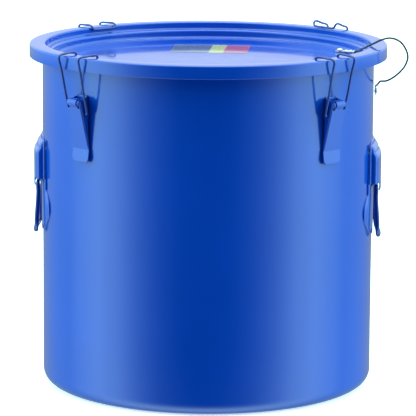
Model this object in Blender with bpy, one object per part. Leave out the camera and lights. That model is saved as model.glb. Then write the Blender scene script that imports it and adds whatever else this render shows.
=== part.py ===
"""Clamped steel pot: a round painted pail with a recessed pan lid, four
over-centre wire latches, two drop handles on pressed brackets and a short
cable tether between the lid and the body.

Metres, +Z up, the pot stands on z = 0 with its axis on Z and its front at -Y.
Angles around the pot are measured from the front (-Y) towards +X.
"""

import math

import bmesh
import bpy
from mathutils import Matrix, Vector

MM = 0.001
SEGMENTS = 64  # steps of the turned parts
GAP = 0.3  # clearance between pieces that touch

# --- sizes, in millimetres ---------------------------------------------------
BODY_R = 166.5  # outer radius of the wall
WALL = 1.2
CORNER_R = 13.0  # bottom corner
HEIGHT = 345.0  # to the top of the lid's flange

LID_R = 179.5
LID_T = 1.2
SKIRT = 13.0
FLANGE_IN_R = 165.0
STEP_R = 163.4
STEP_DEPTH = 7.2
DISC_R = 155.5
DISC_DEPTH = 15.6

RIM_TOP = 340.2  # top of the body's rolled rim
RIM_R = 176.6
RIM_LIP = 5.7
SEAL_LOW, SEAL_HIGH = 340.5, 343.5
SEAL_IN, SEAL_OUT = 167.6, 175.4

LATCH_ANGLES = {"fl": -46.0, "fr": 46.0, "rl": -136.6, "rr": 133.7}
PIVOT_H, PIVOT_Z = 10.3, 300.8  # lever pivot: distance off the wall, height
HOOK_DH, HOOK_DZ = -4.3, -10.7  # bail pivot from the lever pivot
BARREL_R = 4.3
PLATE_OFF = 2.7  # lever plate's front face from the pivot
PIN_R = 1.6
LEVER_TOP, LEVER_LOW = 10.0, 11.2  # half widths of the lever
SHEET = 1.4
WIRE_R = 1.15

HANDLE_ANGLES = {"left": -90.0, "right": 90.0}
HANDLE_LIFT = {"left": 1.2, "right": -1.2}
PLATE_T = 0.9
HOOD_R = 175.4
BEAD_R = 172.3
HOOD_T = 1.2
RING_AXIS_R, RING_AXIS_Z = 169.9, 205.2
RING_R = 2.3
RING_LEAN = 1.3
RING_HALF = 30.0
RING_BOTTOM = 151.8

CABLE_R = 1.0


# --- scene and materials -----------------------------------------------------
for old in list(bpy.data.objects):
    bpy.data.objects.remove(old, do_unlink=True)


def paint(name, colour, metallic, roughness):
    material = bpy.data.materials.new(name)
    material.use_nodes = True
    shader = material.node_tree.nodes["Principled BSDF"]
    shader.inputs["Base Color"].default_value = (*colour, 1.0)
    shader.inputs["Metallic"].default_value = metallic
    shader.inputs["Roughness"].default_value = roughness
    material.diffuse_color = (*colour, 1.0)
    return material


BLUE = (0.03, 0.13, 0.62)
DARK_BLUE = (0.02, 0.08, 0.45)
RUBBER = (0.02, 0.02, 0.02)
STEEL = (0.72, 0.73, 0.74)
BLACK = (0.015, 0.015, 0.017)


def show(obj, colour, metallic=0.0, roughness=0.2, smooth=35.0):
    obj.data.materials.clear()
    obj.data.materials.append(paint(obj.name, colour, metallic, roughness))
    if obj.type == "MESH":
        obj.data.shade_smooth()
        obj.data.set_sharp_from_angle(angle=math.radians(smooth))
    return obj


def place(name, data, location=(0, 0, 0), turn=0.0, parent=None):
    obj = bpy.data.objects.new(name, data)
    bpy.context.scene.collection.objects.link(obj)
    obj.matrix_world = Matrix.Translation(Vector(location)) @ Matrix.Rotation(
        turn, 4, "Z"
    )
    if parent is not None:
        obj.parent = parent
        obj.matrix_parent_inverse = parent_frame(parent).inverted()
    return obj


def parent_frame(parent):
    return Matrix.Translation(parent.location) @ Matrix.Rotation(
        parent.rotation_euler.z, 4, "Z"
    )


def mesh_of(name, verts, faces):
    """A closed mesh, in millimetres in and metres out, with its faces turned outwards."""
    mesh = bpy.data.meshes.new(name)
    bm = bmesh.new()
    points = [bm.verts.new(Vector(v) * MM) for v in verts]
    for face in faces:
        bm.faces.new([points[i] for i in face])
    bmesh.ops.recalc_face_normals(bm, faces=bm.faces)
    if bm.calc_volume(signed=True) < 0:
        bmesh.ops.reverse_faces(bm, faces=bm.faces)
    bm.to_mesh(mesh)
    bm.free()
    return mesh


def turned(name, profile, segments=SEGMENTS):
    """A profile of (radius, height) turned about Z; a radius of 0 is a pole."""
    verts, rings, faces = [], [], []
    for radius, z in profile:
        if radius == 0:
            rings.append([len(verts)] * segments)
            verts.append((0, 0, z))
            continue
        rings.append(list(range(len(verts), len(verts) + segments)))
        for k in range(segments):
            a = 2 * math.pi * k / segments
            verts.append((radius * math.cos(a), radius * math.sin(a), z))
    for i, ring in enumerate(rings):
        after = rings[(i + 1) % len(rings)]
        for k in range(segments):
            m = (k + 1) % segments
            face = []
            for corner in (ring[k], ring[m], after[m], after[k]):
                if corner not in face:
                    face.append(corner)
            if len(face) > 2:
                faces.append(face)
    return mesh_of(name, verts, faces)


def bend(centre, radius, start, end, steps):
    """Points of a quarter bend, angles in degrees, for a turned profile."""
    found = []
    for i in range(steps + 1):
        a = math.radians(start + (end - start) * i / steps)
        found.append((centre[0] + radius * math.cos(a), centre[1] + radius * math.sin(a)))
    return found


def prism(name, outline, low, high, axis="X"):
    """An outline of (a, b) pushed from low to high along an axis: X takes (y, z), Y takes (x, z), Z takes (x, y)."""
    order = {
        "X": lambda a, b, c: (c, a, b),
        "Y": lambda a, b, c: (a, c, b),
        "Z": lambda a, b, c: (a, b, c),
    }[axis]
    n = len(outline)
    verts = [order(a, b, low) for a, b in outline] + [order(a, b, high) for a, b in outline]
    faces = [list(range(n))[::-1], list(range(n, 2 * n))]
    faces += [[i, (i + 1) % n, n + (i + 1) % n, n + i] for i in range(n)]
    return mesh_of(name, verts, faces)


def circle(centre, radius, steps, phase=0.0):
    return [
        (
            centre[0] + radius * math.cos(phase + 2 * math.pi * i / steps),
            centre[1] + radius * math.sin(phase + 2 * math.pi * i / steps),
        )
        for i in range(steps)
    ]


def loft(name, sections):
    """Closed sections of equal length, joined in order and capped."""
    n = len(sections[0])
    verts = [p for section in sections for p in section]
    faces = [list(range(n))[::-1]]
    for k in range(len(sections) - 1):
        for i in range(n):
            j = (i + 1) % n
            faces.append([k * n + i, k * n + j, (k + 1) * n + j, (k + 1) * n + i])
    last = (len(sections) - 1) * n
    faces.append([last + i for i in range(n)])
    return mesh_of(name, verts, faces)


def combined(name, base, steps):
    """base with each (operation, mesh) applied in turn by an exact Boolean, as one new mesh."""
    holder = bpy.data.objects.new(name + "_work", base)
    bpy.context.scene.collection.objects.link(holder)
    tools = []
    for i, (operation, mesh) in enumerate(steps):
        tool = bpy.data.objects.new(f"{name}_tool_{i}", mesh)
        bpy.context.scene.collection.objects.link(tool)
        tools.append(tool)
        step = holder.modifiers.new(f"step_{i}", "BOOLEAN")
        step.operation = operation
        step.object = tool
        step.solver = "EXACT"
    graph = bpy.context.evaluated_depsgraph_get()
    result = bpy.data.meshes.new_from_object(holder.evaluated_get(graph))
    result.name = name
    for obj in tools + [holder]:
        bpy.data.objects.remove(obj, do_unlink=True)
    bm = bmesh.new()
    bm.from_mesh(result)
    bmesh.ops.remove_doubles(bm, verts=bm.verts, dist=0.00001)
    bmesh.ops.dissolve_degenerate(bm, edges=bm.edges, dist=0.00001)
    bm.to_mesh(result)
    bm.free()
    return result


def around(radius, angle, z):
    """A point at this radius, angle from the front and height, in metres."""
    a = math.radians(angle)
    return Vector((radius * math.sin(a), -radius * math.cos(a), z)) * MM


def smooth_route(points, spacing, closed=False):
    """A centripetal Catmull-Rom curve through the points, read at even steps."""
    pts = [Vector(p) for p in points]
    if closed:
        chain = [pts[-1]] + pts + [pts[0], pts[1]]
    else:
        chain = [pts[0] * 2 - pts[1]] + pts + [pts[-1] * 2 - pts[-2]]
    dense = []
    for p0, p1, p2, p3 in zip(chain, chain[1:], chain[2:], chain[3:]):
        t0 = 0.0
        t1 = t0 + max((p1 - p0).length, 1e-6) ** 0.5
        t2 = t1 + max((p2 - p1).length, 1e-6) ** 0.5
        t3 = t2 + max((p3 - p2).length, 1e-6) ** 0.5
        for k in range(24):
            t = t1 + (t2 - t1) * k / 24
            a1 = p0.lerp(p1, (t - t0) / (t1 - t0))
            a2 = p1.lerp(p2, (t - t1) / (t2 - t1))
            a3 = p2.lerp(p3, (t - t2) / (t3 - t2))
            b1 = a1.lerp(a2, (t - t0) / (t2 - t0))
            b2 = a2.lerp(a3, (t - t1) / (t3 - t1))
            dense.append(b1.lerp(b2, (t - t1) / (t2 - t1)))
    if not closed:
        dense.append(pts[-1])
    total = [0.0]
    for a, b in zip(dense, dense[1:]):
        total.append(total[-1] + (b - a).length)
    count = max(2, round(total[-1] / spacing))
    found, j = [], 0
    for i in range(count + (0 if closed else 1)):
        want = total[-1] * i / count
        while j < len(total) - 2 and total[j + 1] < want:
            j += 1
        span = total[j + 1] - total[j]
        found.append(dense[j].lerp(dense[j + 1], (want - total[j]) / span if span else 0.0))
    return found


def wire(name, points, radius, closed=False, sides=2, radii=None):
    """A round wire along points in millimetres."""
    curve = bpy.data.curves.new(name, "CURVE")
    curve.dimensions = "3D"
    curve.resolution_u = 1
    curve.bevel_depth = radius * MM
    curve.bevel_resolution = sides
    curve.use_fill_caps = True
    spline = curve.splines.new("POLY")
    spline.points.add(len(points) - 1)
    for i, p in enumerate(points):
        spline.points[i].co = (p[0] * MM, p[1] * MM, p[2] * MM, 1.0)
        if radii:
            spline.points[i].radius = radii[i]
    spline.use_cyclic_u = closed
    return curve


def empty(name, location, turn=0.0):
    obj = bpy.data.objects.new(name, None)
    obj.empty_display_size = 0.01
    obj.location = location
    obj.rotation_euler = (0, 0, turn)
    bpy.context.scene.collection.objects.link(obj)
    return obj


# --- pail --------------------------------------------------------------------
def shell_profile():
    inner = BODY_R - WALL
    outside = [(0, 0)]
    outside += bend((BODY_R - CORNER_R, CORNER_R), CORNER_R, -90, 0, 5)
    outside += [
        (BODY_R, RIM_TOP - WALL - 1.0),
        (BODY_R + 1.0, RIM_TOP - WALL),
        (RIM_R - WALL - 0.8, RIM_TOP - WALL),
        (RIM_R - WALL, RIM_TOP - WALL - 0.8),
        (RIM_R - WALL, RIM_TOP - RIM_LIP),
        (RIM_R, RIM_TOP - RIM_LIP),
        (RIM_R, RIM_TOP - 1.2),
        (RIM_R - 1.2, RIM_TOP),
        (inner + 1.4, RIM_TOP),
        (inner, RIM_TOP - 1.4),
    ]
    inside = bend((BODY_R - CORNER_R, CORNER_R), CORNER_R - WALL, 0, -90, 4)
    return outside + inside + [(0, WALL)]


shell = show(place("bucket_shell", turned("bucket_shell", shell_profile())), BLUE)


# --- lid and its seal --------------------------------------------------------
LID_PARENT = empty("lid_origin", (0, 0, HEIGHT * MM))


def lid_profile():
    top, t = HEIGHT, LID_T
    step, disc = top - STEP_DEPTH, top - DISC_DEPTH
    upper = [
        (0, disc),
        (DISC_R - 3.0, disc),
        (DISC_R - 0.9, disc + 0.9),
        (DISC_R, disc + 3.0),
        (DISC_R, step - 2.4),
        (DISC_R + 1.6, step - 0.5),
        (DISC_R + 3.2, step),
        (STEP_R - 1.8, step),
        (STEP_R, step + 1.8),
        (STEP_R, top - 1.6),
        (STEP_R + 1.6, top),
        (LID_R - 1.6, top),
        (LID_R - 0.4, top - 0.5),
        (LID_R, top - 1.8),
        (LID_R, top - SKIRT),
    ]
    lower = [
        (LID_R - t, top - SKIRT),
        (LID_R - t, top - t - 1.2),
        (LID_R - t - 1.0, top - t),
        (STEP_R + t + 1.2, top - t),
        (STEP_R + t, top - t - 1.2),
        (STEP_R + t, step + 0.6),
        (STEP_R + t - 2.2, step - t),
        (DISC_R + t + 2.0, step - t),
        (DISC_R + t, step - t - 2.0),
        (DISC_R + t, disc + 1.8),
        (DISC_R - 1.6, disc - t),
        (0, disc - t),
    ]
    return upper + lower


lid = show(
    place("lid", turned("lid", lid_profile()), parent=LID_PARENT), BLUE, roughness=0.15
)
seal = show(
    place(
        "lid_gasket",
        turned(
            "lid_gasket",
            [
                (SEAL_IN, SEAL_LOW),
                (SEAL_OUT, SEAL_LOW),
                (SEAL_OUT, SEAL_HIGH),
                (SEAL_IN, SEAL_HIGH),
            ],
        ),
        parent=LID_PARENT,
    ),
    RUBBER,
    roughness=0.7,
)


# --- latches -----------------------------------------------------------------
# Each latch is drawn in its own frame: X along the wall, Y away from the wall,
# Z up, with Y = 0 on the wall's outer face.
def latch_base_mesh():
    """A small plate on the wall with two ears that carry the pin."""
    foot = prism(
        "foot",
        [
            (-8.2, -15.0),
            (8.2, -15.0),
            (8.2, 5.0),
            (6.6, 6.6),
            (-6.6, 6.6),
            (-8.2, 5.0),
        ],
        GAP + 0.3,
        GAP + 1.9,
        "Y",
    )
    ears = []
    reach = PIN_R + 1.7
    for side in (-1, 1):
        outline = [(GAP + 1.0, -7.4), (PIVOT_H - 1.5, -reach)]
        outline += [
            (PIVOT_H + reach * math.cos(a), reach * math.sin(a))
            for a in [math.radians(d) for d in (-60, -20, 20, 60, 95)]
        ]
        outline += [(GAP + 1.0, 5.4)]
        lo, hi = sorted((side * 6.3, side * 8.1))
        ears.append(("UNION", prism("ear", outline, lo, hi, "X")))
    bore = prism("bore", circle((PIVOT_H, 0), PIN_R + GAP, 10), -20, 20, "X")
    return combined("latch_base", foot, ears + [("DIFFERENCE", bore)])


def lever_mesh():
    """The pressed lever, with its origin on the pivot: a leaning front plate
    with side cheeks, a curled barrel round the pin and a finger tab."""
    lean = math.radians(12.8)
    down = Vector((0, -math.sin(lean), -math.cos(lean)))  # along the plate
    out = Vector((0, math.cos(lean), -math.sin(lean)))  # away from the wall

    def at(s, x, depth):
        p = out * (PLATE_OFF - depth) + down * s
        return (x, p.y, p.z)

    sections = []
    for s, cheek in ((-2.4, 6.6), (4.0, 9.4), (12.5, 9.2), (20.0, 6.0), (34.0, 3.4), (47.6, 1.9)):
        half = LEVER_TOP + (LEVER_LOW - LEVER_TOP) * max(0.0, s) / 47.6
        sections.append(
            [
                at(s, -half, cheek),
                at(s, -half, 0.0),
                at(s, half, 0.0),
                at(s, half, cheek),
                at(s, half - SHEET, cheek),
                at(s, half - SHEET, SHEET),
                at(s, -half + SHEET, SHEET),
                at(s, -half + SHEET, cheek),
            ]
        )
    body = loft("lever", sections)
    end = out * (PLATE_OFF - SHEET) + down * 47.0
    tilt = math.radians(7.0)
    tab_down = Vector((0, math.sin(tilt), -math.cos(tilt)))
    tab_out = Vector((0, math.cos(tilt), math.sin(tilt)))
    tab = []
    for side in (0.0, 1.55):
        face = []
        for x, s in (
            (-11.7, -0.8), (-11.7, 9.0), (-8.6, 12.8), (8.6, 12.8), (11.7, 9.0), (11.7, -0.8),
        ):
            p = end + tab_down * s + tab_out * side
            face.append((x, p.y, p.z))
        tab.append(face)
    barrel = prism("barrel", circle((0, 0), BARREL_R, 14), -5.7, 5.7, "X")
    slots = []
    for side in (-1, 1):
        lo, hi = sorted((side * 6.0, side * (LEVER_TOP - SHEET - 0.02)))
        slots.append(
            (
                "DIFFERENCE",
                prism("slot", [(-9, -5.4), (9, -5.4), (9, 9), (-9, 9)], lo, hi, "X"),
            )
        )
    bore = prism("bore", circle((0, 0), PIN_R + GAP, 10), -6.0, 6.0, "X")
    hook = prism("hook", circle((HOOK_DH, HOOK_DZ), WIRE_R + GAP, 8), -20, 20, "X")
    return combined(
        "latch_lever",
        body,
        [("UNION", loft("tab", tab)), ("UNION", barrel)]
        + slots
        + [("DIFFERENCE", bore), ("DIFFERENCE", hook)],
    )


def bail_points(seated=True):
    """Half of the wire bail, from the middle of its crossbar to its end, with
    its origin on the bail pivot. Seated, the crossbar hooks inside the lid's
    recess; otherwise it rests on top of the flange."""
    top = HEIGHT - (PIVOT_Z + HOOK_DZ)
    base = BODY_R + PIVOT_H + HOOK_DH
    inner = math.sqrt((STEP_R - WIRE_R - GAP - 0.4) ** 2 - 15.6**2) - base
    bend_at = 18.2 - (PIVOT_H + HOOK_DH)
    low = top - 2.2
    if not seated:
        inner += 3.2
        low = top + WIRE_R + GAP + 0.2
    if seated:
        over = [
            (14.0, inner, low + 0.2),
            (15.4, inner, low + 1.4),
            (15.7, inner + 1.2, top + 1.4),
            (15.6, inner + 3.4, top + 2.3),
            (15.0, bend_at - 8.0, top + 1.8),
            (14.6, bend_at - 3.2, top + 1.5),
        ]
    else:
        over = [
            (13.8, inner, low + 0.4),
            (15.3, inner + 0.4, low + 2.2),
            (15.8, inner + 1.9, low + 4.6),
            (15.5, inner + 4.4, low + 4.9),
            (14.9, bend_at - 8.0, top + 3.6),
            (14.5, bend_at - 2.0, top + 1.7),
        ]
    return (
        [(0.0, inner, low), (9.0, inner, low)]
        + over
        + [
            (14.4, bend_at - 0.8, top + 0.3),
            (14.3, bend_at, top - 2.2),
            (14.2, bend_at - 0.7, top - 5.0),
            (13.9, bend_at - 3.0, top - 13.6),
            (13.5, bend_at - 8.2, top - 38.0),
            (13.0, 0.9, 5.0),
            (12.8, 0.2, 1.9),
            (12.3, 0.0, 0.4),
            (11.4, 0.0, 0.0),
            (9.6, 0.0, 0.0),
        ]
    )


def bail_curve(seated=True):
    half = bail_points(seated)
    both = [(-x, y, z) for x, y, z in reversed(half[1:])] + half
    return wire("latch_bail", smooth_route(both, 3.2), WIRE_R, sides=2)


base_mesh, lever_data = latch_base_mesh(), lever_mesh()
pin_data = prism("latch_pin", circle((0, 0), PIN_R, 10), -8.4, 8.4, "X")
BAILS = {True: bail_curve(True), False: bail_curve(False)}
UNSEATED = ("rr",)

for key, angle in LATCH_ANGLES.items():
    turn = math.radians(angle + 180.0)
    foot_at = around(BODY_R, angle, PIVOT_Z)
    pivot_at = around(BODY_R + PIVOT_H, angle, PIVOT_Z)
    hook_at = around(BODY_R + PIVOT_H + HOOK_DH, angle, PIVOT_Z + HOOK_DZ)
    show(place(f"latch_base_{key}", base_mesh.copy(), foot_at, turn), BLUE)
    show(place(f"latch_pin_{key}", pin_data.copy(), pivot_at, turn), DARK_BLUE)
    lever = show(place(f"latch_lever_{key}", lever_data.copy(), pivot_at, turn), BLUE)
    bail = BAILS[key not in UNSEATED].copy()
    show(place(f"latch_bail_{key}", bail, hook_at, turn, parent=lever), DARK_BLUE)


# --- handles -----------------------------------------------------------------
def ring_block(name, sections):
    """A closed block lofted upwards from (height, back radius, [(angle, outer radius), ...])."""
    found = []
    for z, back, front in sections:
        row = []
        for a, r in front:
            row.append(tuple(around(r, a, z) / MM))
        for a, _ in reversed(front):
            row.append(tuple(around(back, a, z) / MM))
        found.append(row)
    n = len(sections[0][2])
    verts = [p for row in found for p in row]
    m = 2 * n
    faces = []
    for k in range(len(found) - 1):
        for i in range(m):
            j = (i + 1) % m
            faces.append([k * m + i, k * m + j, (k + 1) * m + j, (k + 1) * m + i])
    for k in (0, len(found) - 1):
        for i in range(n - 1):
            faces.append([k * m + i, k * m + i + 1, k * m + m - 2 - i, k * m + m - 1 - i])
    return mesh_of(name, verts, faces)


def backplate_mesh():
    """The curved plate behind a handle: a band with rounded top corners that
    runs down into a wider oval lobe."""
    back, front = BODY_R + GAP, BODY_R + GAP + PLATE_T

    def oval(a):
        return 28.0 * math.sqrt(max(0.0, 1 - (a / 20.9) ** 2))

    def edges(a):
        low, high = 182.0 - oval(a), 252.0
        if abs(a) > 10.0:
            high -= 11.0 * ((abs(a) - 10.0) / 6.0) ** 2
        if abs(a) > 16.01:
            high = 182.0 + oval(a)
        return low, high

    side = [2.8, 5.6, 8.4, 11.2, 13.2, 14.8, 16.0, 16.3, 17.6, 19.0, 20.0, 20.6]
    angles = [-a for a in reversed(side)] + [0.0] + side
    verts, faces = [], []
    for a in angles:
        low, high = edges(a)
        for r in (back, front):
            for z in (low, high):
                verts.append(tuple(around(r, a, z) / MM))
    for i in range(len(angles) - 1):
        p, q = 4 * i, 4 * (i + 1)
        faces += [
            [p, q, q + 1, p + 1],
            [p + 2, p + 3, q + 3, q + 2],
            [p, p + 2, q + 2, q],
            [p + 1, q + 1, q + 3, p + 3],
        ]
    last = 4 * (len(angles) - 1)
    faces += [[0, 1, 3, 2], [last, last + 2, last + 3, last + 1]]
    return mesh_of("handle_backplate", verts, faces)


def hood_mesh():
    """The pressed hood over the pivot bar: open below, with a beaded, sloped
    top and notches at its lower corners where the ring's legs come out."""
    back = BODY_R + GAP + PLATE_T + GAP
    stations = (-15.7, -14.9, -14.4, -10, -5, 0, 5, 10, 14.4, 14.9, 15.7)

    def outer(radius):
        found = []
        for a in stations:
            full = radius if abs(a) < 14.5 else radius - 0.9 if abs(a) < 15.5 else back + 0.8
            found.append((a, max(back + 0.8, full)))
        return found

    def inner(radius):
        found = []
        for a in stations:
            b = 15.2 if abs(a) > 15.5 else 14.5 if abs(a) > 14.5 else abs(a) * 0.97
            full = radius if abs(a) < 15.5 else back - 0.6
            if 14.5 < abs(a) < 15.5:
                full -= 0.6
            found.append((math.copysign(b, a) if a else 0.0, max(back - 0.6, full)))
        return found

    solid = ring_block(
        "hood",
        [
            (200.9, back, outer(HOOD_R)),
            (237.8, back, outer(HOOD_R)),
            (239.8, back, outer(HOOD_R - 0.9)),
            (241.2, back, outer(BEAD_R + 0.2)),
            (244.6, back, outer(BEAD_R - 0.2)),
            (247.2, back, outer(BEAD_R - 1.4)),
            (249.4, back, outer(back + 0.8)),
        ],
    )
    hollow = ring_block(
        "hollow",
        [
            (190.0, back - 2, inner(HOOD_R - HOOD_T)),
            (237.0, back - 2, inner(HOOD_R - HOOD_T)),
            (240.2, back - 2, inner(BEAD_R - HOOD_T - 0.2)),
            (243.8, back - 2, inner(BEAD_R - HOOD_T - 0.5)),
            (246.8, back - 2, inner(back - 0.3)),
        ],
    )
    notches = []
    for side in (-1, 1):
        a0, a1 = sorted((side * 8.4, side * 20.0))
        mid = (a0 + a1) / 2
        notches.append(
            (
                "DIFFERENCE",
                ring_block(
                    "notch",
                    [(z, back - 2, [(a0, HOOD_R + 4), (mid, HOOD_R + 4), (a1, HOOD_R + 4)]) for z in (190.0, 209.8)],
                ),
            )
        )
    return combined("handle_hood", solid, [("DIFFERENCE", hollow)] + notches)


def ring_route():
    """Half of the handle's ring from the middle of its pivot bar to the middle
    of its grip, about the pivot axis: Y out, Z up."""
    drop = RING_AXIS_Z - RING_BOTTOM - RING_R
    bow = math.hypot(RING_AXIS_R + RING_LEAN, RING_HALF)
    points, radii = [], []

    def add(x, y, z, share=1.0):
        points.append((x, y, z))
        radii.append(share)

    def bowed(x):
        return math.sqrt(bow**2 - x**2) - RING_AXIS_R

    thin = 1.8 / RING_R
    for x in (0.0, 12.0, 23.5):
        add(x, 0.0, 0.0, thin)
    for d in (15, 45, 75):
        a = math.radians(d)
        add(RING_HALF - 4 + 4 * math.sin(a), 0.0, -4 + 4 * math.cos(a), thin + (1 - thin) * d / 90)
    add(RING_HALF, -0.5, -8.0)
    add(RING_HALF, RING_LEAN - 0.2, -drop + 16.0)
    for d in (12, 34, 56, 78):
        a = math.radians(d)
        x = RING_HALF - 12.0 * (1 - math.cos(a))
        add(x, bowed(x), -drop + 12.0 * (1 - math.sin(a)))
    for x in (13.0, 6.5, 0.0):
        add(x, bowed(x), -drop)
    return points, radii


def ring_curve():
    points, radii = ring_route()
    left = [(-x, y, z) for x, y, z in points[1:-1]][::-1]
    return wire(
        "handle_ring", points + left, RING_R, closed=True, sides=2, radii=radii + radii[1:-1][::-1]
    )


plate_data, hood_data, ring_data = backplate_mesh(), hood_mesh(), ring_curve()

for key, angle in HANDLE_ANGLES.items():
    lift = HANDLE_LIFT[key] * MM
    centre_turn = math.radians(angle)
    show(place(f"handle_backplate_{key}", plate_data.copy(), (0, 0, lift), centre_turn), BLUE)
    show(place(f"handle_hood_{key}", hood_data.copy(), (0, 0, lift), centre_turn), BLUE)
    axis_at = around(RING_AXIS_R, angle, RING_AXIS_Z) + Vector((0, 0, lift))
    show(
        place(f"handle_ring_{key}", ring_data.copy(), axis_at, math.radians(angle + 180.0)),
        DARK_BLUE,
    )


# --- tether ------------------------------------------------------------------
DISC_Z = HEIGHT - DISC_DEPTH
LID_EYE = (141.9, 109.8)  # radius and angle of the eye on the lid's disc
LID_EXIT = (152.0, 102.0)
BODY_EYE_ANGLE, BODY_EYE_Z = 90.6, 296.6


def eyelet(name, head_r, hole_r, thick, tube_r, tube_length, rise):
    """A crimp eyelet lying in XY: a flat eye with its crimp tube along +X, which may rise."""
    steps = 18
    outline = [
        (head_r * math.cos(a), head_r * math.sin(a))
        for a in [math.radians(25 + 310 * i / steps) for i in range(steps + 1)]
    ]
    outline += [(head_r + 1.4, -tube_r * 0.8), (head_r + 1.4, tube_r * 0.8)]
    eye = prism("eye", outline, 0.0, thick, "Z")
    hole = prism("hole", circle((0, 0), hole_r, 12), -5, 9, "Z")
    start = Vector((head_r - 1.0, 0, max(thick / 2, 0.2)))
    end = start + Vector((tube_length, 0, rise))
    sections = []
    for centre, share in ((start, 0.45), (start.lerp(end, 0.25), 1.0), (end, 1.0)):
        sections.append(
            [
                (centre.x, tube_r * share * math.cos(a), centre.z + tube_r * share * math.sin(a))
                for a in [2 * math.pi * i / 10 for i in range(10)]
            ]
        )
    tube = loft("tube", sections)
    return combined(name, eye, [("UNION", tube), ("DIFFERENCE", hole)]), end


def rivet(name, head_r, head_h, shank_r, low):
    """A round head on a short shank that stands at z = low, along +Z."""
    profile = [
        (0, low),
        (shank_r, low),
        (shank_r, 1.9),
        (head_r, 1.9),
        (head_r * 0.92, 1.9 + head_h * 0.55),
        (head_r * 0.6, 1.9 + head_h * 0.92),
        (0, 1.9 + head_h),
    ]
    return turned(name, profile, 14)


eye_at = around(LID_EYE[0], LID_EYE[1], DISC_Z)
exit_at = around(LID_EXIT[0], LID_EXIT[1], DISC_Z)
heading = math.atan2(exit_at.y - eye_at.y, exit_at.x - eye_at.x)
length = (exit_at - eye_at).length / MM

lid_terminal_mesh, lid_end = eyelet("tether_terminal_lid", 4.8, 2.2, 1.1, 1.75, length - 3.8, 1.2)
show(
    place(
        "tether_terminal_lid",
        lid_terminal_mesh,
        eye_at + Vector((0, 0, 0.8 * MM)),
        heading,
        parent=LID_PARENT,
    ),
    STEEL,
    metallic=1.0,
    roughness=0.3,
)
show(
    place(
        "tether_rivet_lid",
        rivet("tether_rivet_lid", 3.5, 1.7, 1.9, GAP),
        eye_at + Vector((0, 0, 0.3 * MM)),
        heading,
        parent=LID_PARENT,
    ),
    STEEL,
    metallic=1.0,
    roughness=0.35,
)

# The body's eye hangs on a rivet in the wall, with its crimp tube turned up and outwards.
wall_at = around(BODY_R, BODY_EYE_ANGLE, BODY_EYE_Z)
outward = around(1.0, BODY_EYE_ANGLE, 0.0) / MM
along = Vector((0, 0, 1))
side = along.cross(outward) * -1
STAND = Matrix((side, along, outward)).transposed()
FACE = Matrix.Translation(wall_at) @ STAND.to_4x4()
UPRIGHT = FACE @ Matrix.Rotation(math.radians(90), 4, "Z")


def stand(name, mesh, matrix, lift):
    obj = bpy.data.objects.new(name, mesh)
    bpy.context.scene.collection.objects.link(obj)
    obj.matrix_world = matrix @ Matrix.Translation(Vector((0, 0, lift * MM)))
    return obj


body_terminal_mesh, body_end = eyelet("tether_terminal_body", 4.6, 2.2, 1.1, 1.6, 3.4, 2.6)
show(
    stand("tether_terminal_body", body_terminal_mesh, UPRIGHT, 1.2),
    STEEL,
    metallic=1.0,
    roughness=0.3,
)
show(
    stand("tether_rivet_body", rivet("tether_rivet_body", 3.4, 1.6, 1.9, GAP), UPRIGHT, 0.5),
    STEEL,
    metallic=1.0,
    roughness=0.35,
)

tube_mouth = (
    Matrix.Translation(eye_at + Vector((0, 0, 0.8 * MM))) @ Matrix.Rotation(heading, 4, "Z")
) @ (lid_end * MM)
lid_way = (Matrix.Rotation(heading, 4, "Z") @ Vector((1, 0, 0.06))).normalized()
body_mouth = (UPRIGHT @ Matrix.Translation(Vector((0, 0, 1.2 * MM)))) @ (body_end * MM)
body_way = (UPRIGHT.to_3x3() @ Vector((3.4, 0, 2.6))).normalized()

route = [
    tube_mouth / MM + lid_way * (GAP + 0.05),
    tube_mouth / MM + lid_way * 3.4 + Vector((0, -0.7, 0.9)),
    around(152.3, 94.8, 335.6) / MM,
    around(154.0, 88.8, 339.6) / MM,
    around(157.2, 86.0, 341.8) / MM,
    around(161.2, 83.4, 344.8) / MM,
    around(167.2, 82.0, 348.0) / MM,
    around(174.0, 81.3, 351.6) / MM,
    around(183.1, 80.7, 354.0) / MM,
    around(192.3, 80.6, 351.4) / MM,
    around(198.2, 81.2, 344.3) / MM,
    around(200.7, 82.2, 334.9) / MM,
    around(197.6, 83.2, 325.3) / MM,
    around(188.9, 85.3, 314.9) / MM,
    around(179.4, 87.9, 308.0) / MM,
    body_mouth / MM + body_way * 3.0,
    body_mouth / MM + body_way * 0.95,
]
cable = place("tether_cable", wire("tether_cable", smooth_route(route, 4.6), CABLE_R, sides=2))
cable.parent = LID_PARENT
cable.matrix_parent_inverse = parent_frame(LID_PARENT).inverted()
show(cable, BLACK, roughness=0.45)
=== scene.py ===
"""Looks for the clamped-lid pot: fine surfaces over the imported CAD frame, enamel
paint, a soft white studio and the camera."""

import math

import bmesh
import bpy
from mathutils import Matrix, Vector


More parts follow.
